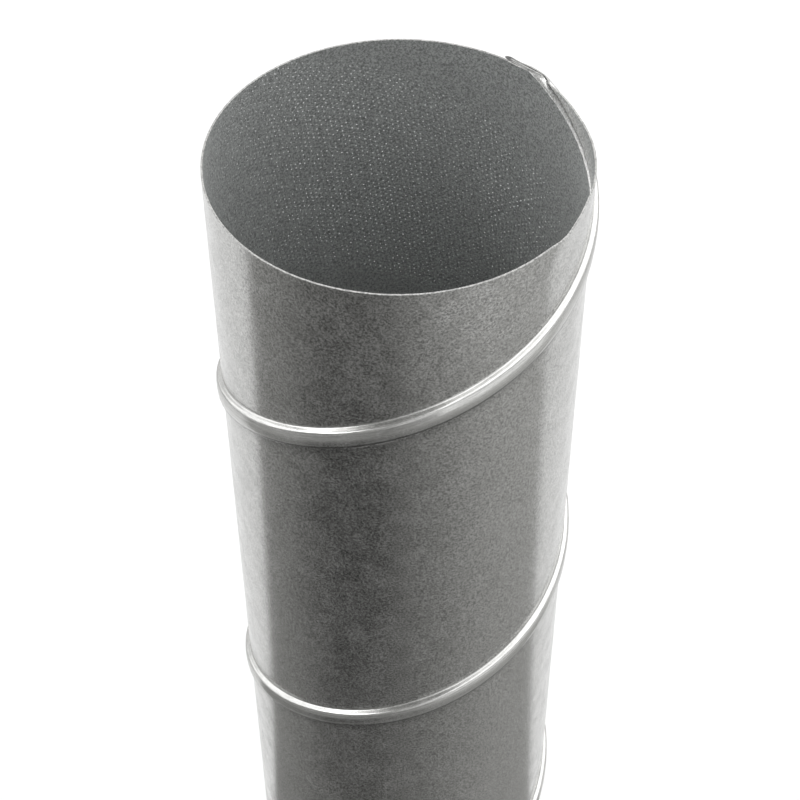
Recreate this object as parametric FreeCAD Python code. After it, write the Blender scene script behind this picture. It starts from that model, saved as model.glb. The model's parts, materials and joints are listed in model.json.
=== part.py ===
"""Spiral duct section: a round ventilation duct wound from galvanised strip with an outside lock seam.

Millimetres, +Z up. The duct stands on its end: the origin is the middle of its bottom rim, and its
axis is +Z. The front is -Y, and angles are counted from the front.
"""
import FreeCAD, Part
import math
import os

# Driving dimensions of the duct
BORE = 100.0            # nominal inside diameter
LENGTH = 500.0          # cut length
SHEET = 0.5             # thickness of the galvanised strip
STRIP_WIDTH = 137.0     # width of the strip that the duct is wound from

# Driving dimensions of the lock seam, square to the way it runs
SEAM_WIDTH = 5.8        # from the rolled lower edge to the foot of the upper ramp
SEAM_LAYERS = 4         # layers of sheet folded into each other
SEAM_GAP = 0.05         # hairline of air left between two pressed layers
RAMP_ANGLE = 75.0       # slope of the upper ramp, in degrees from the wall
RAMP_BEND = 0.5         # outer radius where the crest bends down into the ramp
CREVICE_ANGLE = 45.0    # how far the rolled edge turns back under itself towards the wall
ROLL_STEPS = 3          # flats along the rolled edge
BEND_STEPS = 2          # flats along the bend above the crest

# Where the seam lies round the duct
SEAM_DROP = 49.2        # from the top rim down to the seam's lower edge, at the front
FRONT = -90.0           # the front's angle from +X, in degrees

# Worked out from the above
bore_r = BORE / 2
wall_r = bore_r + SHEET
crest_r = bore_r + SEAM_LAYERS * SHEET + (SEAM_LAYERS - 1) * SEAM_GAP
mean_circumference = math.pi * (bore_r + wall_r)
cover_width = STRIP_WIDTH - (SEAM_LAYERS - 1) * SEAM_WIDTH
lead_angle = math.asin(cover_width / mean_circumference)
pitch = mean_circumference * math.tan(lead_angle)
seam_height = SEAM_WIDTH / math.cos(lead_angle)


def rounded(radius, first, last, steps):
    """Corners along a small bend: how far out and how far up each lies, as the angle runs first to last.

    The outward distance is from the bend's middle, and the upward one from its lowest point.
    """
    angles = [math.radians(first + (last - first) * step / steps) for step in range(steps + 1)]
    return [(radius * math.sin(angle), radius * (1 - math.cos(angle))) for angle in angles]


def seam_section():
    """The seam cut by a plane through the axis, from the middle of the wall out to its crest."""
    root_r = bore_r + SHEET / 2
    ramp_slope = math.tan(math.radians(RAMP_ANGLE))

    # the strip's lower edge is rolled over into a half round, with a fine crevice left below it
    roll_r = (crest_r - wall_r) / 2
    roll_mid_r = wall_r + roll_r
    roll = [(roll_mid_r + out, up) for out, up in rounded(roll_r, -CREVICE_ANGLE, 90, ROLL_STEPS)]

    # the crest bends down into a steep ramp, which lands on the wall above
    bend = [(crest_r - drop, run) for run, drop in rounded(RAMP_BEND, 0, RAMP_ANGLE, BEND_STEPS)]
    ramp_top_r, bend_run = bend[-1]
    bend_start_z = seam_height - (ramp_top_r - wall_r) / ramp_slope - bend_run
    crest_end = [(radius, bend_start_z + run) for radius, run in bend]
    ramp_root = (root_r, seam_height + (wall_r - root_r) / ramp_slope)
    crevice_root = (root_r, roll[0][1])

    outline = [crevice_root] + roll + crest_end + [ramp_root, crevice_root]
    return Part.makePolygon([FreeCAD.Vector(radius, 0, height) for radius, height in outline])


def seam():
    """The section wound up the duct as a right-handed screw, and cut flat where the duct ends."""
    turns_below = math.ceil((LENGTH - SEAM_DROP + seam_height) / pitch)
    start_z = LENGTH - SEAM_DROP - turns_below * pitch
    turns = math.ceil((LENGTH - start_z) / pitch) + 1
    helix = Part.makeHelix(pitch, turns * pitch, bore_r)
    wound = Part.Wire(helix.Edges).makePipeShell([seam_section()], True, True)
    wound.rotate(FreeCAD.Vector(0, 0, 0), FreeCAD.Vector(0, 0, 1), FRONT)
    wound.translate(FreeCAD.Vector(0, 0, start_z))
    between_rims = Part.makeCylinder(crest_r + SHEET, LENGTH)
    return wound.common(between_rims)


def wall():
    """The plain round wall between the two rims."""
    return Part.makeCylinder(wall_r, LENGTH).cut(Part.makeCylinder(bore_r, LENGTH))


def spiral_duct():
    """The wall and its seam, one continuous piece of folded sheet."""
    return wall().fuse(seam()).Solids[0]


os.makedirs("parts", exist_ok=True)
duct = spiral_duct()
duct.exportStep("parts/spiral_duct.step")
print(f"pitch {pitch:.2f} mm, lead angle {math.degrees(lead_angle):.2f} degrees, seam {seam_height:.2f} mm high")
print(f"valid {duct.isValid()}, volume {duct.Volume:.0f} mm3, {len(duct.Faces)} faces, box {duct.BoundBox}")
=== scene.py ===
"""Spiral duct section: galvanised strip wound into a round duct and folded to itself along its lock seam.

Metres, +Z up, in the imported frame: the duct stands on its end, its axis is +Z and its front is -Y.
"""

import json
import logging
import math
from dataclasses import dataclass
from enum import Enum

import bpy
from mathutils import Euler, Matrix, Vector


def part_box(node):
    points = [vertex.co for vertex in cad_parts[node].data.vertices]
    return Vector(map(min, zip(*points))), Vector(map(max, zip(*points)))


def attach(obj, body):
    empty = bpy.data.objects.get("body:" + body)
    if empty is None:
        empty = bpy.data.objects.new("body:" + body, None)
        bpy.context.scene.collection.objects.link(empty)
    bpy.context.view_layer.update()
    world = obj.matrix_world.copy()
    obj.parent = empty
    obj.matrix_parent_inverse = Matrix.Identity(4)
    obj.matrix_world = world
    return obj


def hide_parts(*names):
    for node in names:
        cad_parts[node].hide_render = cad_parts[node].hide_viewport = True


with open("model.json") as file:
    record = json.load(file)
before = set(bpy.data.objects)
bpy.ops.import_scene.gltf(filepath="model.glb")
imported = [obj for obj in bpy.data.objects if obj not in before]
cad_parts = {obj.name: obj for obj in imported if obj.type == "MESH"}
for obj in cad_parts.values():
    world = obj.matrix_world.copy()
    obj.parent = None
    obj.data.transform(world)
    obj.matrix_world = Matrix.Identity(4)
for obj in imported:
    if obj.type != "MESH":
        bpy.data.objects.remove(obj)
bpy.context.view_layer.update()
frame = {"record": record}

MM = 0.001

# short names for the types that come often; a span is a range, from its first value to its last
Tree = bpy.types.NodeTree
Socket = bpy.types.NodeSocket
Material = bpy.types.Material
Point = tuple[float, float, float]
Span = tuple[float, float]

LOG = logging.getLogger("spiral_duct")


class Face(Enum):
    """Which face of the strip a point lies on, as the number kept in the strip's attribute."""

    INSIDE = 0.0
    OUTSIDE = 1.0


def linear(hex_colour: str) -> tuple[float, float, float, float]:
    """Turns an sRGB hex colour to linear light.

    Args:
        hex_colour: the colour as "#RRGGBB".

    Returns:
        Red, green, blue and an alpha of 1.
    """
    channels = [int(hex_colour[i : i + 2], 16) / 255 for i in (1, 3, 5)]
    light = [c / 12.92 if c <= 0.04045 else ((c + 0.055) / 1.055) ** 2.4 for c in channels]
    return light[0], light[1], light[2], 1.0


def add_node(tree: Tree, kind: str, inputs: dict | None = None, **settings: object) -> bpy.types.Node:
    """Adds a node with its settings and its inputs.

    Args:
        tree: the node tree that the node goes into.
        kind: the node's type.
        inputs: a value or another node's output for each input, by its name or number.
        settings: the node's own properties.

    Returns:
        The new node.
    """
    node = tree.nodes.new(kind)
    for name, value in settings.items():
        setattr(node, name, value)
    for key, value in (inputs or {}).items():
        if isinstance(value, Socket):
            tree.links.new(value, node.inputs[key])
        else:
            node.inputs[key].default_value = value
    return node


def blank_material(name: str) -> Material:
    """Makes a material whose node tree is still empty.

    Args:
        name: the material's name.

    Returns:
        The material.
    """
    material = bpy.data.materials.new(name)
    material.use_nodes = True
    material.node_tree.nodes.clear()
    return material


def add_object(name: str, data: bpy.types.ID) -> bpy.types.Object:
    """Puts a mesh, a lamp or a camera in the scene, at the origin.

    Args:
        name: the new object's name.
        data: its mesh, lamp or camera.

    Returns:
        The new object.
    """
    piece = bpy.data.objects.new(name, data)
    bpy.context.scene.collection.objects.link(piece)
    return piece


def bake_modifier(piece: bpy.types.Object) -> bpy.types.Object:
    """Turns a piece's node tree into plain mesh.

    Args:
        piece: an object whose one modifier makes its shape.

    Returns:
        The same object, with the finished mesh and no modifier.
    """
    evaluated = piece.evaluated_get(bpy.context.evaluated_depsgraph_get())
    mesh = bpy.data.meshes.new_from_object(evaluated, depsgraph=bpy.context.evaluated_depsgraph_get())
    piece.modifiers.clear()
    piece.data = mesh
    mesh.name = piece.name
    return piece


@dataclass(frozen=True)
class Mottle:
    """An uneven mark in the zinc: how big its patches are, how finely they break up and how many show."""

    size_mm: float
    detail: float
    roughness: float
    shown: Span
    stretch: float = 1.0
    distortion: float = 0.0

    def draw(self, tree: Tree, place: Socket) -> Socket:
        """Draws the mark.

        Args:
            tree: the material's node tree.
            place: the coordinates that it is drawn on, of which the first may be stretched.

        Returns:
            How strong the mark is, from 0 to 1.
        """
        drawn = add_node(
            tree, "ShaderNodeMapping", {"Vector": place, "Scale": (self.stretch, 1.0, 1.0)}
        ).outputs[0]
        noise = add_node(
            tree, "ShaderNodeTexNoise",
            {"Vector": drawn, "Scale": 1 / (self.size_mm * MM), "Detail": self.detail,
             "Roughness": self.roughness, "Distortion": self.distortion},
        ).outputs["Fac"]
        first, full = self.shown
        return add_node(
            tree, "ShaderNodeMapRange", {"Value": noise, "From Min": first, "From Max": full}
        ).outputs[0]


@dataclass(frozen=True)
class Spot:
    """What the shader knows of a spot on the strip, in its node tree: coordinates, and masks from 0 to 1."""

    tree: Tree
    body: Socket
    strip: Socket
    along: Socket
    across: Socket
    outside: Socket
    cut: Socket
    crest: Socket
    near_seam: Socket
    folded: Socket
    # the last three masks are painted shade: at the seam's lower edge, on the wall under the seam and in the gap
    # beside the inner fold
    crease: Socket
    shadow: Socket
    gap: Socket


@dataclass(frozen=True)
class GalvanisedSteel:
    """Hot-dip galvanised steel strip with a minimised spangle: a satin grey zinc skin.

    The zinc mirrors its surroundings softly. Its fine grain is patches that scatter light instead, so
    the grain shows where the mirror is dark and goes where the mirror is bright. The drive roller's
    knurl leaves the inside duller, with rows of tiny bright dimples. Rollers streak the seam's crest.
    """

    name: str = "galvanised_steel"

    # the zinc's colours, and what is left of them in the grain's specks and in the crest's streaks
    zinc: str = "#CDCDCB"
    knurled_zinc: str = "#C1C3C2"
    # paler zinc: worn inside near the seam, and a painted highlight along the inner fold
    worn_and_highlight_zinc: str = "#F2F2F0"
    cut_steel: str = "#B0B0AE"
    dark_grain: float = 0.46
    inner_grain: float = 0.53
    crest_grain: float = 0.84
    crest_streak: float = 0.84

    # how rough each kind of surface is
    roughness: float = 0.16
    dull_roughness: float = 0.26
    knurled_roughness: float = 0.86
    dimple_roughness: float = 0.20
    cut_roughness: float = 0.55

    # how much of the light each mark scatters, where clean zinc mirrors it
    grain_scatter: float = 0.14
    cloud_scatter: float = 0.12
    streak_scatter: float = 0.10
    rub_scatter: float = 0.36
    scuff_scatter: float = 0.42
    dimple_scatter: float = 0.40
    knurled_scatter: float = 0.07
    worn_scatter: float = 0.60
    fold_scatter: float = 0.50

    # how far a mark tilts the surface up the duct, as a slope
    crest_dip: float = -0.06
    crest_lift: float = 0.38
    fold_lift: float = 2.4
    dimple_tilt: float = 1.4

    # painted shade: how much darker the seam's lower edge, the wall under it and the gap beside the inner fold are
    crease_shade: float = 0.72
    shadow_dark: float = 0.28
    gap_shade: float = 0.8

    # the zinc's uneven marks: a minimised spangle is about 0.3 mm, so the grain is drawn coarser to show
    grain: Mottle = Mottle(0.60, 1.0, 0.7, (0.30, 0.66), distortion=0.3)
    cloud: Mottle = Mottle(6.5, 5.0, 0.62, (0.42, 0.72))
    satin: Mottle = Mottle(6.5, 5.0, 0.62, (0.30, 0.70))
    streak: Mottle = Mottle(0.35, 3.0, 0.5, (0.40, 0.70), stretch=0.06)
    rub: Mottle = Mottle(1.2, 2.0, 0.7, (0.44, 0.62), stretch=0.3)
    scuff: Mottle = Mottle(4.0, 4.0, 0.65, (0.38, 0.64))

    # where each mark starts and ends across the strip, up from the seam's lower edge
    cover_mm: float = 119.6
    crest_mm: Span = (5.9, 6.4)
    near_seam_mm: Span = (6.0, 16.0)
    crease_mm: Span = (0.3, 0.75)
    gap_mm: Span = (5.9, 6.2)

    # the same, up from the next turn of that edge
    fold_mm: Span = (2.9, 3.4)
    shadow_mm: Span = (-5.0, -1.4)
    rub_mm: float = -1.75
    rub_half_mm: Span = (0.15, 0.4)

    # the pale scuff's middle, and how far from it the scuff starts to fade and ends
    scuff_mm: Point = (21.3, -45.7, 494.0)
    scuff_reach_mm: Span = (2.0, 26.0)

    # the knurl's dimples, and the plain margins beside them; the stray is a share of a dimple's cell
    dimple_pitch_mm: float = 1.68
    dimple_radius_mm: float = 0.36
    dimple_stray: float = 0.2
    dimple_faintest: float = 0.3
    plain_margin_mm: float = 26.0
    knurl_fade_mm: float = 5.0

    def build(self) -> Material:
        """Makes the material.

        Returns:
            The material, which reads the strip's own coordinates and the duct's.
        """
        material = blank_material(self.name)
        tree = material.node_tree
        spot = self._spot(tree)
        grain = self.grain.draw(tree, spot.body)
        line = self.streak.draw(tree, spot.strip)
        streak = add_node(tree, "ShaderNodeMath", {0: line, 1: spot.crest}, operation="MULTIPLY").outputs[0]
        dimple, spark = self._dimples(spot)
        skin = add_node(
            tree, "ShaderNodeBsdfPrincipled",
            {"Base Color": self._colour(spot, grain, streak),
             "Roughness": self._roughness(spot, dimple),
             "Normal": self._normal(spot, spark),
             "Metallic": self._mirrored(spot, grain, streak, spark)},
        )
        add_node(tree, "ShaderNodeOutputMaterial", {"Surface": skin.outputs["BSDF"]})
        return material

    def _spot(self, tree: Tree) -> Spot:
        """Reads where a spot lies, and marks the places across the strip.

        Args:
            tree: the material's node tree.

        Returns:
            The spot's coordinates and masks.
        """
        body = add_node(tree, "ShaderNodeTexCoord").outputs["Object"]
        strip = add_node(tree, "ShaderNodeAttribute", attribute_name="strip").outputs["Vector"]
        along, across, outside = add_node(tree, "ShaderNodeSeparateXYZ", {"Vector": strip}).outputs
        cut = add_node(tree, "ShaderNodeAttribute", attribute_name="cut").outputs["Fac"]
        masks = [
            add_node(
                tree, "ShaderNodeMapRange",
                {"Value": across, "From Min": (turn + first) * MM, "From Max": (turn + last) * MM,
                 "To Min": before, "To Max": after},
            ).outputs[0]
            for turn, (first, last), before, after in (
                (0.0, self.crest_mm, outside, 0.0),
                (0.0, self.near_seam_mm, 1.0, 0.0),
                (self.cover_mm, self.fold_mm, 0.0, 1.0),
                # this row and the next two give the painted shade at the seam's lower edge, under the seam and
                # beside the inner fold
                (0.0, self.crease_mm, self.crease_shade, 0.0),
                (self.cover_mm, self.shadow_mm, 0.0, self.shadow_dark),
                (0.0, self.gap_mm, self.gap_shade, 0.0),
            )
        ]
        return Spot(tree, body, strip, along, across, outside, cut, *masks)

    def _mirrored(self, spot: Spot, grain: Socket, streak: Socket, spark: Socket) -> Socket:
        """Works out how much light the zinc mirrors, which is all that its marks don't scatter.

        Args:
            spot: what is known of the spot.
            grain: how pale the grain is.
            streak: how strong the roller's streaks are.
            spark: how bright the dimple is.

        Returns:
            The share that is mirrored.
        """
        tree = spot.tree
        inner = self.knurled_scatter
        for mark, share in ((spot.near_seam, self.worn_scatter), (spot.folded, self.fold_scatter)):
            inner = add_node(
                tree, "ShaderNodeMath", {0: mark, 1: share, 2: inner}, operation="MULTIPLY_ADD"
            ).outputs[0]
        scattered = add_node(
            tree, "ShaderNodeMapRange", {"Value": spot.outside, "To Min": inner, "To Max": 0.0}
        ).outputs[0]
        rolled, handled = self._rubs(spot)
        for mark, share in (
            (grain, self.grain_scatter),
            (self.cloud.draw(tree, spot.body), self.cloud_scatter),
            (streak, self.streak_scatter),
            (rolled, self.rub_scatter),
            (handled, self.scuff_scatter),
            (spark, self.dimple_scatter),
        ):
            scattered = add_node(
                tree, "ShaderNodeMath", {0: mark, 1: share, 2: scattered}, operation="MULTIPLY_ADD"
            ).outputs[0]
        return add_node(
            tree, "ShaderNodeMath", {0: 1.0, 1: scattered}, operation="SUBTRACT", use_clamp=True
        ).outputs[0]

    def _colour(self, spot: Spot, grain: Socket, streak: Socket) -> Socket:
        """Mixes the zinc's colour, darker in its grain and in the crest's streaks and paler inside near the seam.

        It also holds painted shade at the seam's lower edge, on the wall under the seam and in the gap beside
        the inner fold, and a painted highlight along the inner fold.

        Args:
            spot: what is known of the spot.
            grain: how pale the grain is.
            streak: how strong the roller's streaks are.

        Returns:
            The colour.
        """
        tree = spot.tree
        # paler inside near the seam, where the zinc is worn, and along the inner fold, where the paler colour is a
        # painted highlight
        rubbed = add_node(
            tree, "ShaderNodeMath", {0: spot.near_seam, 1: spot.folded}, operation="MAXIMUM"
        ).outputs[0]
        colour = linear(self.knurled_zinc)
        for mask, other in ((rubbed, self.worn_and_highlight_zinc), (spot.outside, self.zinc), (spot.cut, self.cut_steel)):
            colour = add_node(
                tree, "ShaderNodeMix", {"Factor": mask, 6: colour, 7: linear(other)}, data_type="RGBA"
            ).outputs[2]
        specks = add_node(
            tree, "ShaderNodeMapRange",
            {"Value": spot.outside, "To Min": self.inner_grain, "To Max": self.dark_grain},
        ).outputs[0]
        wall, pressed, drawn = (
            add_node(
                tree, "ShaderNodeMapRange", {"Value": mark, "To Min": none, "To Max": full}
            ).outputs[0]
            for mark, none, full in (
                (grain, specks, 1.0), (grain, self.crest_grain, 1.0), (streak, 1.0, self.crest_streak)
            )
        )
        rolled = add_node(tree, "ShaderNodeMath", {0: drawn, 1: pressed}, operation="MULTIPLY").outputs[0]
        marked = add_node(
            tree, "ShaderNodeMapRange", {"Value": spot.crest, "To Min": wall, "To Max": rolled}
        ).outputs[0]
        # painted shade: darker at the seam's lower edge and on the wall under it outside, and in the gap beside the
        # inner fold inside
        outer = add_node(tree, "ShaderNodeMath", {0: spot.crease, 1: spot.shadow}, operation="ADD").outputs[0]
        dark = add_node(
            tree, "ShaderNodeMapRange", {"Value": spot.outside, "To Min": spot.gap, "To Max": outer}
        ).outputs[0]
        lit = add_node(tree, "ShaderNodeMath", {0: 1.0, 1: dark}, operation="SUBTRACT").outputs[0]
        shade = add_node(tree, "ShaderNodeMath", {0: marked, 1: lit}, operation="MULTIPLY").outputs[0]
        return add_node(
            tree, "ShaderNodeMix", {"Factor": 1.0, 6: colour, 7: shade}, data_type="RGBA", blend_type="MULTIPLY"
        ).outputs[2]

    def _roughness(self, spot: Spot, dimple: Socket) -> Socket:
        """Works out how rough the zinc is: satin outside, dull inside, and smoother in each dimple.

        Args:
            spot: what is known of the spot.
            dimple: how deep in a dimple the spot lies.

        Returns:
            The roughness.
        """
        tree = spot.tree
        rough = self.knurled_roughness
        satin = add_node(
            tree, "ShaderNodeMapRange",
            {"Value": self.satin.draw(tree, spot.body), "To Min": self.roughness, "To Max": self.dull_roughness},
        ).outputs[0]
        for mask, other in (
            (spot.folded, self.dull_roughness),
            (spot.outside, satin),
            (dimple, self.dimple_roughness),
            (spot.cut, self.cut_roughness),
        ):
            rough = add_node(
                tree, "ShaderNodeMapRange", {"Value": mask, "To Min": rough, "To Max": other}
            ).outputs[0]
        return rough

    def _normal(self, spot: Spot, spark: Socket) -> Socket:
        """Tilts the faces of the dimples and of the inner fold up the duct, and rounds the seam's crest.

        Args:
            spot: what is known of the spot.
            spark: how bright the dimple is.

        Returns:
            The normal.
        """
        tree = spot.tree
        bowed = add_node(
            tree, "ShaderNodeMapRange",
            {"Value": spot.across, "From Min": 0.0, "From Max": self.crest_mm[0] * MM,
             "To Min": self.crest_dip, "To Max": self.crest_lift},
        ).outputs[0]
        inner_fold = add_node(
            tree, "ShaderNodeMapRange", {"Value": spot.outside, "To Min": spot.folded, "To Max": 0.0}
        ).outputs[0]
        amount = add_node(tree, "ShaderNodeMath", {0: bowed, 1: spot.crest}, operation="MULTIPLY").outputs[0]
        for mask, slope in ((spark, self.dimple_tilt), (inner_fold, self.fold_lift)):
            amount = add_node(
                tree, "ShaderNodeMath", {0: mask, 1: slope, 2: amount}, operation="MULTIPLY_ADD"
            ).outputs[0]
        up = add_node(
            tree, "ShaderNodeVectorTransform", {"Vector": (0.0, 0.0, 1.0)},
            vector_type="NORMAL", convert_from="OBJECT", convert_to="WORLD",
        ).outputs[0]
        lift = add_node(tree, "ShaderNodeVectorMath", {0: up, "Scale": amount}, operation="SCALE").outputs[0]
        flat = add_node(tree, "ShaderNodeNewGeometry").outputs["Normal"]
        leaning = add_node(tree, "ShaderNodeVectorMath", {0: flat, 1: lift}, operation="ADD").outputs[0]
        return add_node(tree, "ShaderNodeVectorMath", {0: leaning}, operation="NORMALIZE").outputs[0]

    def _rubs(self, spot: Spot) -> list[Socket]:
        """Draws what rubbed the outside bright: the seam's rollers and handling.

        The rollers left a broken line just under the seam. Handling left a pale mottled scuff near the
        rim, to the right of the front.

        Args:
            spot: what is known of the spot.

        Returns:
            How far the rollers rubbed the spot, and how far handling did.
        """
        tree = spot.tree
        line = (self.cover_mm + self.rub_mm) * MM
        off_line = add_node(tree, "ShaderNodeMath", {0: spot.across, 1: line}, operation="SUBTRACT").outputs[0]
        beside = add_node(tree, "ShaderNodeMath", {0: off_line}, operation="ABSOLUTE").outputs[0]
        middle = tuple(value * MM for value in self.scuff_mm)
        away = add_node(
            tree, "ShaderNodeVectorMath", {0: spot.body, 1: middle}, operation="DISTANCE"
        ).outputs["Value"]
        rubs = []
        for distance, (whole, gone), patches in (
            (beside, self.rub_half_mm, self.rub.draw(tree, spot.strip)),
            (away, self.scuff_reach_mm, self.scuff.draw(tree, spot.body)),
        ):
            rub = add_node(
                tree, "ShaderNodeMapRange",
                {"Value": distance, "From Min": whole * MM, "From Max": gone * MM, "To Min": 1.0, "To Max": 0.0},
            ).outputs[0]
            for share in (patches, spot.outside):
                rub = add_node(tree, "ShaderNodeMath", {0: rub, 1: share}, operation="MULTIPLY").outputs[0]
            rubs.append(rub)
        return rubs

    def _dimples(self, spot: Spot) -> tuple[Socket, Socket]:
        """Draws the knurl's dimples in staggered rows along the strip, on its inside face.

        Args:
            spot: what is known of the spot.

        Returns:
            How deep in a dimple the spot lies, and how bright the dimple is there.
        """
        tree = spot.tree
        pitch = self.dimple_pitch_mm * MM
        row = pitch * math.sin(math.radians(60))
        rows = add_node(tree, "ShaderNodeMath", {0: spot.across, 1: row}, operation="DIVIDE").outputs[0]
        number = add_node(tree, "ShaderNodeMath", {0: rows}, operation="FLOOR").outputs[0]
        steps = add_node(tree, "ShaderNodeMath", {0: spot.along, 1: pitch}, operation="DIVIDE").outputs[0]
        shifted = add_node(
            tree, "ShaderNodeMath", {0: number, 1: 0.5, 2: steps}, operation="MULTIPLY_ADD"
        ).outputs[0]
        cells = add_node(tree, "ShaderNodeCombineXYZ", {"X": shifted, "Y": rows}).outputs[0]

        # each dimple strays a little from the middle of its cell
        cell = add_node(tree, "ShaderNodeVectorMath", {0: cells}, operation="FLOOR").outputs[0]
        luck = add_node(tree, "ShaderNodeTexWhiteNoise", {"Vector": cell}, noise_dimensions="2D").outputs
        stray, least = self.dimple_stray, 0.5 - self.dimple_stray / 2
        middle = add_node(
            tree, "ShaderNodeVectorMath", {0: luck["Color"], 1: (stray, stray, 0.0), 2: (least, least, 0.0)},
            operation="MULTIPLY_ADD",
        ).outputs[0]
        within = add_node(tree, "ShaderNodeVectorMath", {0: cells}, operation="FRACTION").outputs[0]
        centred = add_node(
            tree, "ShaderNodeVectorMath", {0: within, 1: middle}, operation="SUBTRACT"
        ).outputs[0]
        sized = add_node(
            tree, "ShaderNodeVectorMath", {0: centred, 1: (pitch, row, 0.0)}, operation="MULTIPLY"
        ).outputs[0]
        reach = add_node(tree, "ShaderNodeVectorMath", {0: sized}, operation="LENGTH").outputs["Value"]
        mark = add_node(
            tree, "ShaderNodeMapRange",
            {"Value": reach, "From Min": 0.0, "From Max": self.dimple_radius_mm * MM,
             "To Min": 1.0, "To Max": 0.0},
            interpolation_type="SMOOTHSTEP",
        ).outputs[0]

        # the drive roller is narrower than the strip, so both of its margins stay plain
        offset = add_node(
            tree, "ShaderNodeMath", {0: spot.across, 1: self.cover_mm * MM / 2}, operation="SUBTRACT"
        ).outputs[0]
        off_middle = add_node(tree, "ShaderNodeMath", {0: offset}, operation="ABSOLUTE").outputs[0]
        half = self.cover_mm / 2 - self.plain_margin_mm
        knurled = add_node(
            tree, "ShaderNodeMapRange",
            {"Value": off_middle, "From Min": half * MM, "From Max": (half + self.knurl_fade_mm) * MM,
             "To Min": 1.0, "To Max": 0.0},
        ).outputs[0]
        inside = add_node(tree, "ShaderNodeMath", {0: spot.outside, 1: 0.5}, operation="LESS_THAN").outputs[0]
        there = add_node(tree, "ShaderNodeMath", {0: knurled, 1: inside}, operation="MULTIPLY").outputs[0]
        dimple = add_node(tree, "ShaderNodeMath", {0: mark, 1: there}, operation="MULTIPLY").outputs[0]
        bright = add_node(
            tree, "ShaderNodeMapRange", {"Value": luck["Value"], "To Min": self.dimple_faintest, "To Max": 1.0}
        ).outputs[0]
        spark = add_node(tree, "ShaderNodeMath", {0: dimple, 1: bright}, operation="MULTIPLY").outputs[0]
        return dimple, spark


@dataclass(frozen=True)
class SectionPoint:
    """A point of the strip's middle line: its radius, its height, and the way the line runs there."""

    radius: float
    height: float
    heading: float

    def aside(self, distance: float) -> Vector:
        """Gives the point that lies to the right of the line, as a vector in the plane of the section."""
        out, down = distance * math.sin(self.heading), distance * math.cos(self.heading)
        return Vector((self.radius + out, 0.0, self.height - down))


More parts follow.
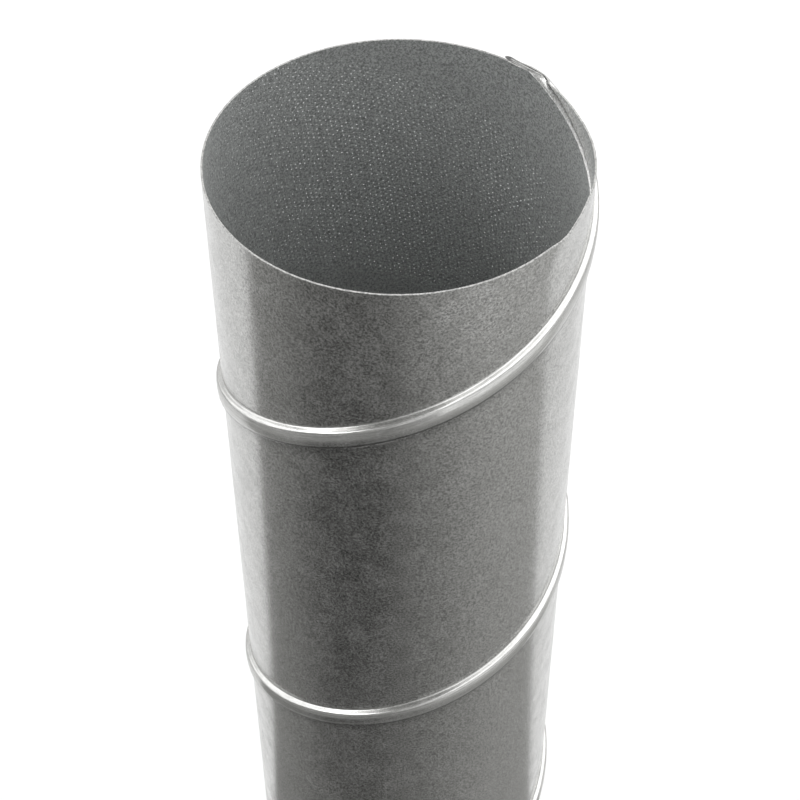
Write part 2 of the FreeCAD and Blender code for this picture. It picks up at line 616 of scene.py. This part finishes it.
@dataclass
class StripSection:
    """The folded strip cut by a plane through the duct's axis, over one turn of the seam."""

    bore_r: float
    crest_r: float
    sheet: float
    pitch: float
    seam_height: float
    ramp_angle: float = math.radians(75.0)
    ramp_bend: float = 0.70 * MM
    fold_gap: float = 0.45 * MM
    hem_drop: float = 0.45 * MM
    crest_bow: float = 0.12 * MM
    groove_depth: float = 0.035 * MM
    groove_width: float = 0.9 * MM
    groove_inset: tuple[float, float] = (0.45 * MM, 0.675 * MM)
    fold_steps: int = 8
    bend_steps: int = 6
    crest_steps: int = 14
    turn_steps: int = 86

    def layer(self, number: int) -> float:
        """Gives the radius of the middle of a layer, counted from the inside."""
        spacing = (self.crest_r - self.crest_bow - self.bore_r - self.sheet) / 3
        return self.bore_r + self.sheet / 2 + (number - 1) * spacing

    def crest(self, low: float, high: float) -> list[SectionPoint]:
        """Draws the crest, bowed a little outwards, with a faint roller groove near each of its edges.

        Args:
            low: the height where the crest starts, above the rolled edge.
            high: the height where it ends, at the ramp.

        Returns:
            The points between the two ends.
        """
        half = (high - low) / 2
        grooves = (low + self.groove_inset[0], high - self.groove_inset[1])
        points = []
        for step in range(1, self.crest_steps):
            height = low + 2 * half * step / self.crest_steps
            radius = self.layer(4) + self.crest_bow * (1 - ((height - low - half) / half) ** 2)
            for middle in grooves:
                off = abs(height - middle) / (self.groove_width / 2)
                if off < 1:
                    radius -= self.groove_depth * (1 + math.cos(math.pi * off)) / 2
            points.append(SectionPoint(radius, height, math.pi / 2))
        return points

    def arc(
        self, centre: tuple[float, float], radius: float, first: float, last: float, steps: int
    ) -> list[SectionPoint]:
        """Draws a bend of the middle line.

        Args:
            centre: the bend's middle, as a radius and a height.
            radius: the bend's radius.
            first: the angle that it starts at, from straight outwards, towards up.
            last: the angle that it ends at.
            steps: how many straight pieces it is made of.

        Returns:
            The points from the first angle to the last.
        """
        turn = math.copysign(math.pi / 2, last - first)
        angles = [first + (last - first) * i / steps for i in range(steps + 1)]
        return [
            SectionPoint(centre[0] + radius * math.cos(angle), centre[1] + radius * math.sin(angle), angle + turn)
            for angle in angles
        ]

    def middle_line(self) -> list[SectionPoint]:
        """Draws the strip's middle line from its lower free edge, inside the seam, to its upper one.

        Returns:
            The points of the line.
        """
        up, down = math.pi / 2, -math.pi / 2
        fold_r = (self.layer(3) - self.layer(1)) / 2
        fold_reach = fold_r + self.sheet / 2
        slope = self.ramp_angle
        drop = self.layer(4) - self.layer(1)
        bend_run = self.ramp_bend * math.sin(slope)
        slope_run = (drop - 2 * self.ramp_bend * (1 - math.cos(slope))) / math.tan(slope)
        foot = (self.ramp_bend - self.sheet / 2) * math.tan(slope / 2)
        ramp_top = self.seam_height + foot - 2 * bend_run - slope_run
        ramp_foot = self.seam_height + foot

        # the strip above the seam lies outermost, and its edge is folded back under itself
        hem = fold_reach - self.hem_drop
        lower_fold = self.arc((self.layer(3), hem), fold_r, math.pi, 2 * math.pi, self.fold_steps)
        crest = self.crest(hem, ramp_top)
        upper_bend = self.arc(
            (self.layer(4) - self.ramp_bend, ramp_top), self.ramp_bend, 0.0, slope, self.bend_steps
        )
        lower_bend = self.arc(
            (self.layer(1) + self.ramp_bend, ramp_foot), self.ramp_bend, math.pi + slope, math.pi, self.bend_steps
        )

        # the strip below the seam runs up inside it, and its edge is folded back outwards
        half = self.sheet / 2
        middle_r = (self.layer(1) + self.layer(4)) / 2
        middle_z = (ramp_top + ramp_foot) / 2
        slack = (middle_r - self.layer(2) - half * math.cos(slope)) / math.sin(slope)
        ramp_inside = middle_z - half * math.sin(slope) + slack * math.cos(slope)
        gap = self.layer(2) - self.layer(1) - self.sheet
        fold_z = ramp_inside - (fold_reach + gap + self.fold_gap) / math.sin(slope)
        upper_fold = self.arc((self.layer(2), self.pitch + fold_z), fold_r, math.pi, 0.0, self.fold_steps)

        web_run = self.pitch + fold_z - ramp_foot
        web_steps = round(self.turn_steps * web_run / self.pitch)
        web = [SectionPoint(self.layer(1), ramp_foot + web_run * i / web_steps, up) for i in range(1, web_steps)]
        lower_edge = [SectionPoint(self.layer(2), fold_z, down)]
        upper_edge = [SectionPoint(self.layer(3), self.pitch + hem, down)]
        return lower_edge + lower_fold + crest + upper_bend + lower_bend + web + upper_fold + upper_edge

    def outline(self) -> bpy.types.Mesh:
        """Makes the strip's section as a closed loop of edges.

        Returns:
            A mesh of radius and height in the XZ plane, with the face of the strip kept for each point.
        """
        line = self.middle_line()
        outside = [point.aside(self.sheet / 2) for point in line]
        inside = [point.aside(-self.sheet / 2) for point in reversed(line)]
        points = outside + inside
        mesh = bpy.data.meshes.new("strip_section")
        edges = [(i, (i + 1) % len(points)) for i in range(len(points))]
        mesh.from_pydata(points, edges, [])
        side = mesh.attributes.new("side", "FLOAT", "POINT")
        values = [Face.OUTSIDE.value] * len(outside) + [Face.INSIDE.value] * len(inside)
        side.data.foreach_set("value", values)
        return mesh


@dataclass(frozen=True)
class RimDent:
    """A small dent in the top rim, pushed outwards or, below zero, inwards. Its angles are in degrees."""

    angle: float
    spread: float
    push_mm: float
    reach_mm: float


@dataclass
class SpiralDuct:
    """The whole duct: its section, wound up the axis as a right-handed screw and cut square at both ends."""

    finish: Material
    low: Vector
    high: Vector
    bore_r: float
    sheet: float = 0.5 * MM
    strip_width: float = 137.0 * MM
    seam_width: float = 5.8 * MM
    seam_drop: float = 49.2 * MM
    front: float = -math.pi / 2
    rows: int = 348
    sheet_wave: float = 0.10 * MM
    wave_length: float = 28.0 * MM

    # the seam's last stretch under the rim lies a little further round than a true screw
    end_turn: float = math.radians(7.3)
    end_reach: float = 20.0 * MM

    # a face this level is a cut end, and an edge sharper than this isn't smoothed
    level_face: float = 0.999
    crease_angle: float = math.radians(40)

    dents: tuple[RimDent, ...] = (
        RimDent(-36.5, 7.0, 0.8, 9.0),
        RimDent(-20.5, 5.0, -0.3, 6.0),
        RimDent(20.0, 16.0, -0.45, 12.0),
        RimDent(50.0, 4.0, -0.45, 6.0),
        RimDent(38.0, 4.0, -0.3, 6.0),
    )

    def __post_init__(self) -> None:
        """Works out the winding from the strip and the bore."""
        self.length = self.high.z - self.low.z
        self.crest_r = (self.high.x - self.low.x) / 2
        around = 2 * math.pi * (self.bore_r + self.sheet / 2)
        # the seam's four layers take up three widths of the seam besides the one that covers
        self.lead = math.asin((self.strip_width - 3 * self.seam_width) / around)
        self.pitch = around * math.tan(self.lead)
        self.seam_height = self.seam_width / math.cos(self.lead)

    def tree(self) -> Tree:
        """Builds the node tree that winds the section up the duct.

        Each point of the section runs up the whole height, and turns round the axis as it rises.

        Returns:
            The node tree, with the sizes as its inputs.
        """
        tree = bpy.data.node_groups.new("wound_strip", "GeometryNodeTree")
        tree.interface.new_socket("Geometry", in_out="INPUT", socket_type="NodeSocketGeometry")
        for name in ("Length", "Pitch", "Seam Start", "Front", "Around", "Lead", "End Turn", "End Reach"):
            tree.interface.new_socket(name, in_out="INPUT", socket_type="NodeSocketFloat")
        tree.interface.new_socket("Rows", in_out="INPUT", socket_type="NodeSocketInt")
        tree.interface.new_socket("Finish", in_out="INPUT", socket_type="NodeSocketMaterial")
        tree.interface.new_socket("Geometry", in_out="OUTPUT", socket_type="NodeSocketGeometry")
        given = add_node(tree, "NodeGroupInput").outputs

        here = add_node(tree, "GeometryNodeInputPosition")
        kept = add_node(
            tree, "GeometryNodeStoreNamedAttribute",
            {"Geometry": given["Geometry"], "Name": "section", "Value": here.outputs[0]},
            data_type="FLOAT_VECTOR", domain="POINT",
        )
        profile = add_node(tree, "GeometryNodeMeshToCurve", {"Mesh": kept.outputs[0]})
        top = add_node(tree, "ShaderNodeCombineXYZ", {"Z": given["Length"]})
        axis = add_node(tree, "GeometryNodeCurvePrimitiveLine", {"End": top.outputs[0]})
        count = add_node(tree, "ShaderNodeMath", {0: given["Rows"], 1: 1.0}, operation="ADD")
        rail = add_node(tree, "GeometryNodeResampleCurve", {"Curve": axis.outputs[0], "Count": count.outputs[0]})
        risen = add_node(tree, "ShaderNodeSeparateXYZ", {0: here.outputs[0]})
        marked = add_node(
            tree, "GeometryNodeStoreNamedAttribute",
            {"Geometry": rail.outputs[0], "Name": "rise", "Value": risen.outputs["Z"]},
            data_type="FLOAT", domain="POINT",
        )
        swept = add_node(
            tree, "GeometryNodeCurveToMesh",
            {"Curve": marked.outputs[0], "Profile Curve": profile.outputs[0], "Fill Caps": True},
        )

        section = add_node(tree, "GeometryNodeInputNamedAttribute", {"Name": "section"}, data_type="FLOAT_VECTOR")
        rise = add_node(tree, "GeometryNodeInputNamedAttribute", {"Name": "rise"}, data_type="FLOAT")
        part = add_node(tree, "ShaderNodeSeparateXYZ", {0: section.outputs[0]})
        above = add_node(tree, "ShaderNodeMath", {0: rise.outputs[0], 1: given["Seam Start"]}, operation="SUBTRACT")
        wound = add_node(tree, "ShaderNodeMath", {0: above.outputs[0], 1: part.outputs["Z"]}, operation="SUBTRACT")
        turns = add_node(tree, "ShaderNodeMath", {0: wound.outputs[0], 1: given["Pitch"]}, operation="DIVIDE")
        angle = add_node(
            tree, "ShaderNodeMath", {0: turns.outputs[0], 1: math.tau, 2: given["Front"]}, operation="MULTIPLY_ADD"
        )
        spoke = add_node(tree, "ShaderNodeCombineXYZ", {"X": part.outputs["X"], "Z": rise.outputs[0]})
        below_top = add_node(tree, "ShaderNodeMath", {0: given["Length"], 1: rise.outputs[0]}, operation="SUBTRACT")
        sag = add_node(
            tree, "ShaderNodeMapRange",
            {"Value": below_top.outputs[0], "From Min": 0.0, "From Max": given["End Reach"],
             "To Min": given["End Turn"], "To Max": 0.0},
            interpolation_type="SMOOTHSTEP",
        )
        wound_on = add_node(tree, "ShaderNodeMath", {0: angle.outputs[0], 1: sag.outputs[0]}, operation="ADD")
        turned = add_node(
            tree, "ShaderNodeVectorRotate",
            {"Vector": spoke.outputs[0], "Angle": wound_on.outputs[0]},
            rotation_type="Z_AXIS",
        )
        shape = self.out_of_round(tree, turned.outputs[0], below_top.outputs[0])
        placed = add_node(tree, "GeometryNodeSetPosition", {"Geometry": swept.outputs[0], "Position": shape})

        # the strip's own coordinates: along it, across it, and which face
        girth = add_node(tree, "ShaderNodeMath", {0: turns.outputs[0], 1: given["Around"]}, operation="MULTIPLY")
        cosine, sine = (
            add_node(tree, "ShaderNodeMath", {0: given["Lead"]}, operation=kind) for kind in ("COSINE", "SINE")
        )
        level_run = add_node(
            tree, "ShaderNodeMath", {0: girth.outputs[0], 1: cosine.outputs[0]}, operation="MULTIPLY"
        )
        along = add_node(
            tree, "ShaderNodeMath", {0: rise.outputs[0], 1: sine.outputs[0], 2: level_run.outputs[0]},
            operation="MULTIPLY_ADD",
        )
        across = add_node(
            tree, "ShaderNodeMath", {0: part.outputs["Z"], 1: cosine.outputs[0]}, operation="MULTIPLY"
        )
        side = add_node(tree, "GeometryNodeInputNamedAttribute", {"Name": "side"}, data_type="FLOAT")
        strip = add_node(
            tree, "ShaderNodeCombineXYZ", {"X": along.outputs[0], "Y": across.outputs[0], "Z": side.outputs[0]}
        )
        mapped = add_node(
            tree, "GeometryNodeStoreNamedAttribute",
            {"Geometry": placed.outputs[0], "Name": "strip", "Value": strip.outputs[0]},
            data_type="FLOAT_VECTOR", domain="POINT",
        )

        # the cut ends and the sharp edges
        normal = add_node(tree, "GeometryNodeInputNormal")
        facing = add_node(tree, "ShaderNodeSeparateXYZ", {0: normal.outputs[0]})
        level = add_node(tree, "ShaderNodeMath", {0: facing.outputs["Z"]}, operation="ABSOLUTE")
        is_cut = add_node(
            tree, "ShaderNodeMath", {0: level.outputs[0], 1: self.level_face}, operation="GREATER_THAN"
        )
        trimmed = add_node(
            tree, "GeometryNodeStoreNamedAttribute",
            {"Geometry": mapped.outputs[0], "Name": "cut", "Value": is_cut.outputs[0]},
            data_type="FLOAT", domain="FACE",
        )
        fold = add_node(tree, "GeometryNodeInputMeshEdgeAngle")
        sharp = add_node(
            tree, "ShaderNodeMath", {0: fold.outputs[0], 1: self.crease_angle}, operation="GREATER_THAN"
        )
        smooth = add_node(tree, "GeometryNodeSetShadeSmooth", {0: trimmed.outputs[0], 2: True}, domain="FACE")
        creased = add_node(
            tree, "GeometryNodeSetShadeSmooth", {0: smooth.outputs[0], 1: sharp.outputs[0], 2: False}, domain="EDGE"
        )
        outward = add_node(tree, "GeometryNodeFlipFaces", {0: creased.outputs[0]})
        real = add_node(tree, "GeometryNodeRealizeInstances", {0: outward.outputs[0]})
        dressed = add_node(
            tree, "GeometryNodeSetMaterial", {"Geometry": real.outputs[0], "Material": given["Finish"]}
        )
        add_node(tree, "NodeGroupOutput", {"Geometry": dressed.outputs[0]})
        return tree

    def out_of_round(self, tree: Tree, place: Socket, below_top: Socket) -> Socket:
        """Adds the sheet's slight waves and the dents in the top rim.

        Args:
            tree: the duct's node tree.
            place: where each point lies on the true round.
            below_top: how far each point lies below the top rim.

        Returns:
            Where each point comes to lie.
        """
        wave = add_node(
            tree, "ShaderNodeTexNoise", {"Vector": place, "Scale": 1 / self.wave_length, "Detail": 1.0}
        ).outputs[0]
        push = add_node(tree, "ShaderNodeMath", {0: wave, 1: -self.sheet_wave}, operation="MULTIPLY").outputs[0]
        part = add_node(tree, "ShaderNodeSeparateXYZ", {0: place})
        bearing = add_node(
            tree, "ShaderNodeMath", {0: part.outputs["Y"], 1: part.outputs["X"]}, operation="ARCTAN2"
        ).outputs[0]
        for dent in self.dents:
            turn = add_node(tree, "ShaderNodeMath", {0: bearing, 1: math.radians(dent.angle)}, operation="SUBTRACT")
            off = add_node(tree, "ShaderNodeMath", {0: turn.outputs[0]}, operation="ABSOLUTE").outputs[0]
            near = add_node(
                tree, "ShaderNodeMapRange",
                {"Value": off, "From Max": math.radians(dent.spread), "To Min": dent.push_mm * MM, "To Max": 0.0},
            ).outputs[0]
            high = add_node(
                tree, "ShaderNodeMapRange",
                {"Value": below_top, "From Max": dent.reach_mm * MM, "To Min": 1.0, "To Max": 0.0},
                interpolation_type="SMOOTHSTEP",
            ).outputs[0]
            push = add_node(tree, "ShaderNodeMath", {0: near, 1: high, 2: push}, operation="MULTIPLY_ADD").outputs[0]
        share = add_node(tree, "ShaderNodeMath", {0: push, 1: self.bore_r}, operation="DIVIDE").outputs[0]
        grown = add_node(tree, "ShaderNodeMath", {0: share, 1: 1.0}, operation="ADD").outputs[0]
        factors = add_node(tree, "ShaderNodeCombineXYZ", {"X": grown, "Y": grown, "Z": 1.0}).outputs[0]
        return add_node(tree, "ShaderNodeVectorMath", {0: place, 1: factors}, operation="MULTIPLY").outputs[0]

    def build(self) -> bpy.types.Object:
        """Makes the duct and puts it in the place of its plain solid.

        Returns:
            The finished piece.
        """
        section = StripSection(self.bore_r, self.crest_r, self.sheet, self.pitch, self.seam_height)
        duct = add_object("wound_duct", section.outline())
        winding = duct.modifiers.new("winding", "NODES")
        winding.node_group = self.tree()
        sizes = {
            "Length": self.length,
            "Pitch": self.pitch,
            "Seam Start": self.length - self.seam_drop,
            "Front": self.front,
            "Around": 2 * math.pi * (self.bore_r + self.sheet / 2),
            "Lead": self.lead,
            "End Turn": self.end_turn,
            "End Reach": self.end_reach,
            "Rows": self.rows,
            "Finish": self.finish,
        }
        for socket in winding.node_group.interface.items_tree:
            if socket.name in sizes:
                winding[socket.identifier] = sizes[socket.name]
        bake_modifier(duct)
        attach(duct, "root")
        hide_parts("spiral_duct")
        return duct


@dataclass(frozen=True)
class PaleFloor:
    """White matt paint on a smooth board: it scatters light evenly, and the duct's shadow lies soft on it."""

    name: str = "pale_floor"
    colour: str = "#FDFDFD"
    roughness: float = 0.9

    def build(self) -> Material:
        """Makes the material.

        Returns:
            The material.
        """
        material = bpy.data.materials.new(self.name)
        material.use_nodes = True
        paint = material.node_tree.nodes["Principled BSDF"]
        paint.inputs["Base Color"].default_value = linear(self.colour)
        paint.inputs["Roughness"].default_value = self.roughness
        return material


@dataclass(frozen=True)
class GradedCard:
    """Matt grey card: the metal mirrors it as one dark band that grades softly to paler sides.

    A stop is a share of a turn round the duct, from the back by the left and the front, with its grey.
    The card has one row of stops close to the duct and a paler one farther out. Lengths are in metres.
    """

    name: str = "front_card"
    close: tuple[tuple[float, str], ...] = ((0.23, "#929290"), (0.40, "#383837"), (0.72, "#B6B6B4"))
    distant: tuple[tuple[float, str], ...] = ((0.33, "#B8B8B6"), (0.47, "#969694"), (0.61, "#F6F6F4"))
    foot: str = "#8E8E8C"
    foot_share: float = 0.55
    foot_reach: Span = (0.08, 0.40)
    distant_reach: Span = (0.28, 1.1)

    def build(self) -> Material:
        """Makes the material.

        Returns:
            The material, which reads how far round the duct and how far from it each spot lies.
        """
        material = blank_material(self.name)
        tree = material.node_tree
        place = add_node(tree, "ShaderNodeTexCoord").outputs["Object"]
        right, back, _ = add_node(tree, "ShaderNodeSeparateXYZ", {0: place}).outputs
        front = add_node(tree, "ShaderNodeMath", {0: back, 1: -1.0}, operation="MULTIPLY").outputs[0]
        bearing = add_node(tree, "ShaderNodeMath", {0: right, 1: front}, operation="ARCTAN2").outputs[0]
        share = add_node(
            tree, "ShaderNodeMapRange", {"Value": bearing, "From Min": -math.pi, "From Max": math.pi}
        ).outputs["Result"]
        greys = []
        for stops, easing in ((self.close, "EASE"), (self.distant, "LINEAR")):
            (left_share, left), (front_share, ahead), (right_share, last) = stops
            grey = add_node(tree, "ShaderNodeValToRGB", {"Fac": share})
            grey.color_ramp.interpolation = easing
            ends = grey.color_ramp.elements
            ends[0].position, ends[0].color = left_share, linear(left)
            ends[1].position, ends[1].color = right_share, linear(last)
            ends.new(front_share).color = linear(ahead)
            greys.append(grey.outputs["Color"])
        away = add_node(tree, "ShaderNodeVectorMath", {0: place}, operation="LENGTH").outputs["Value"]
        near, gone = self.foot_reach
        foot = add_node(
            tree, "ShaderNodeMapRange",
            {"Value": away, "From Min": near, "From Max": gone, "To Min": self.foot_share, "To Max": 0.0},
        ).outputs["Result"]
        start, end = self.distant_reach
        far = add_node(
            tree, "ShaderNodeMapRange", {"Value": away, "From Min": start, "From Max": end},
            interpolation_type="SMOOTHSTEP",
        ).outputs["Result"]
        tone = greys[0]
        for mask, other in ((foot, linear(self.foot)), (far, greys[1])):
            tone = add_node(tree, "ShaderNodeMix", {"Factor": mask, 6: tone, 7: other}, data_type="RGBA").outputs[2]
        paint = add_node(tree, "ShaderNodeBsdfDiffuse", {"Color": tone})
        add_node(tree, "ShaderNodeOutputMaterial", {"Surface": paint.outputs[0]})
        return material


@dataclass(frozen=True)
class Panel:
    """A flat sheet that only the metal mirrors: grey cloth, or white cloth with a lamp behind it.

    It has a corner, and the ways from there along its two sides, in metres.
    """

    name: str
    colour: str
    light: float
    corner: Point
    width: Point
    depth: Point

    def cloth(self) -> Material:
        """Makes its even cloth, which the metal mirrors as one flat tone.

        Returns:
            The material.
        """
        material = blank_material(self.name)
        tree = material.node_tree
        glow = add_node(tree, "ShaderNodeEmission", {"Color": linear(self.colour), "Strength": self.light})
        add_node(tree, "ShaderNodeOutputMaterial", {"Surface": glow.outputs[0]})
        return material


@dataclass
class Studio:
    """A plain pale floor under one wide softbox and an even sky, with what only the metal mirrors.

    That is a graded card in front of the duct, two grey flags, a batten under the softbox and three
    lamps. All of them lie outside the picture. Lengths are in metres.
    """

    floor_size: float = 12.0
    sky_light: float = 0.40
    softbox_size: float = 2.85
    softbox_height: float = 1.6
    softbox_back: float = 0.50
    softbox_power: float = 36.0
    card_edge: float = 0.066
    card_size: float = 3.0
    card_lift: float = 0.002
    panels: tuple[Panel, ...] = (
        Panel("front_flag", "#A8A8A6", 1.0, (-1.5, -1.3, 0.2), (1.27, 0.0, 0.0), (0.0, 0.0, 1.35)),
        Panel("left_flag", "#969694", 1.0, (-1.5, -1.3, 0.2), (0.0, 1.1, 0.0), (0.0, 0.0, 1.15)),
        Panel("batten", "#8C8C8A", 1.0, (-1.02, -1.0, 1.55), (0.74, 0.0, 0.0), (0.0, 1.8, 0.0)),
        Panel("top_lamp", "#FFFFFF", 5.5, (-1.42, -0.9, 1.55), (0.38, 0.0, 0.0), (0.0, 1.6, 0.0)),
        Panel("side_lamp", "#FFFFFF", 1.9, (-1.66, -0.42, 0.70), (0.76, 1.77, 0.0), (0.0, 0.0, 1.1)),
        Panel("low_lamp", "#FFFFFF", 1.25, (0.35, -1.15, 0.02), (0.95, 0.85, 0.0), (0.0, 0.0, 0.55)),
    )

    def build(self) -> bpy.types.Object:
        """Makes the floor, the card, the panels, the sky and the softbox.

        Returns:
            The floor.
        """
        size = self.floor_size
        floor = self.sheet(
            "floor", (-size / 2, -size / 2, 0.0), (size, 0.0, 0.0), (0.0, size, 0.0), PaleFloor().build()
        )
        size = self.card_size
        corner = (-size / 2, self.card_edge - size, self.card_lift)
        card = self.sheet("front_card", corner, (size, 0.0, 0.0), (0.0, size, 0.0), GradedCard().build())
        self.only_mirrored(card)
        for panel in self.panels:
            hung = self.sheet(panel.name, panel.corner, panel.width, panel.depth, panel.cloth())
            self.only_mirrored(hung)
        self.sky()
        self.softbox()
        return floor

    def sheet(self, name: str, corner: Point, width: Point, depth: Point, material: Material) -> bpy.types.Object:
        """Puts up a flat rectangle.

        Args:
            name: its name.
            corner: where one corner lies.
            width: the way from that corner along one side.
            depth: the way from that corner along the other side.
            material: what it is made of.

        Returns:
            The rectangle.
        """
        mesh = bpy.data.meshes.new(name)
        first, along, up = Vector(corner), Vector(width), Vector(depth)
        mesh.from_pydata([first, first + along, first + along + up, first + up], [], [(0, 1, 2, 3)])
        mesh.materials.append(material)
        sheet = add_object(name, mesh)
        return sheet

    def only_mirrored(self, piece: bpy.types.Object) -> None:
        """Leaves a stage piece to the metal's reflections alone.

        Args:
            piece: a sheet that only the metal mirrors.
        """
        piece.visible_camera = False
        piece.visible_diffuse = False
        piece.visible_shadow = False
        piece.visible_transmission = False

    def sky(self) -> None:
        """Sets the even light from all round, which reads white where it is seen or mirrored."""
        world = bpy.data.worlds.new("studio")
        bpy.context.scene.world = world
        world.use_nodes = True
        tree = world.node_tree
        tree.nodes.clear()
        path = add_node(tree, "ShaderNodeLightPath").outputs
        seen = path["Is Camera Ray"]
        for ray in ("Is Glossy Ray", "Is Transmission Ray"):
            seen = add_node(tree, "ShaderNodeMath", {0: seen, 1: path[ray]}, operation="MAXIMUM").outputs[0]
        strength = add_node(
            tree, "ShaderNodeMapRange", {"Value": seen, "To Min": self.sky_light, "To Max": 1.0}
        )
        light = add_node(
            tree, "ShaderNodeBackground", {"Color": linear("#FFFFFF"), "Strength": strength.outputs["Result"]}
        )
        add_node(tree, "ShaderNodeOutputWorld", {"Surface": light.outputs[0]})

    def softbox(self) -> None:
        """Hangs one wide soft lamp over the duct."""
        light = bpy.data.lights.new("softbox", "AREA")
        light.shape = "SQUARE"
        light.size = self.softbox_size
        light.energy = self.softbox_power
        lamp = add_object("softbox", light)
        lamp.location = (0.0, self.softbox_back, self.softbox_height)


@dataclass
class PhotoCamera:
    """The camera of the photograph, placed from the middle of the duct's top rim. Angles are in degrees."""

    rim_height: float
    bore_r: float
    focal_mm: float = 85.12
    sensor_mm: float = 36.0
    nearest: float = 0.01
    distance_in_radii: float = 9.72
    elevation: float = 39.81
    tilt_down: float = 47.10
    roll: float = -0.336

    def build(self) -> bpy.types.Object:
        """Makes the camera and sets it as the scene's.

        Returns:
            The camera.
        """
        data = bpy.data.cameras.new("photo_camera")
        data.lens = self.focal_mm
        data.sensor_width = self.sensor_mm
        data.clip_start = self.nearest
        camera = add_object("photo_camera", data)
        reach = self.distance_in_radii * self.bore_r
        rise = math.radians(self.elevation)
        turn = Euler((math.radians(90 - self.tilt_down), 0.0, 0.0)).to_matrix()
        roll = Matrix.Rotation(math.radians(self.roll), 3, "Z")
        camera.location = (0.0, -reach * math.cos(rise), self.rim_height + reach * math.sin(rise))
        camera.rotation_euler = (turn @ roll).to_euler()
        bpy.context.scene.camera = camera
        return camera


def main() -> None:
    """Builds the duct, the studio and the camera, and reports the duct."""
    logging.basicConfig(level=logging.INFO, format="%(name)s: %(message)s")
    bpy.context.scene.view_settings.view_transform = "Standard"
    bore = next(mount for mount in frame["record"]["mounts"] if mount["name"] == "bore")
    low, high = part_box("spiral_duct")
    steel = GalvanisedSteel().build()
    duct = SpiralDuct(steel, low, high, bore["dims"]["r_mm"] * MM)
    piece = duct.build()
    LOG.info("%s: %d vertices, pitch %.2f mm", piece.name, len(piece.data.vertices), duct.pitch / MM)
    Studio().build()
    PhotoCamera(high.z, duct.bore_r).build()


if __name__ == "__main__":
    main()
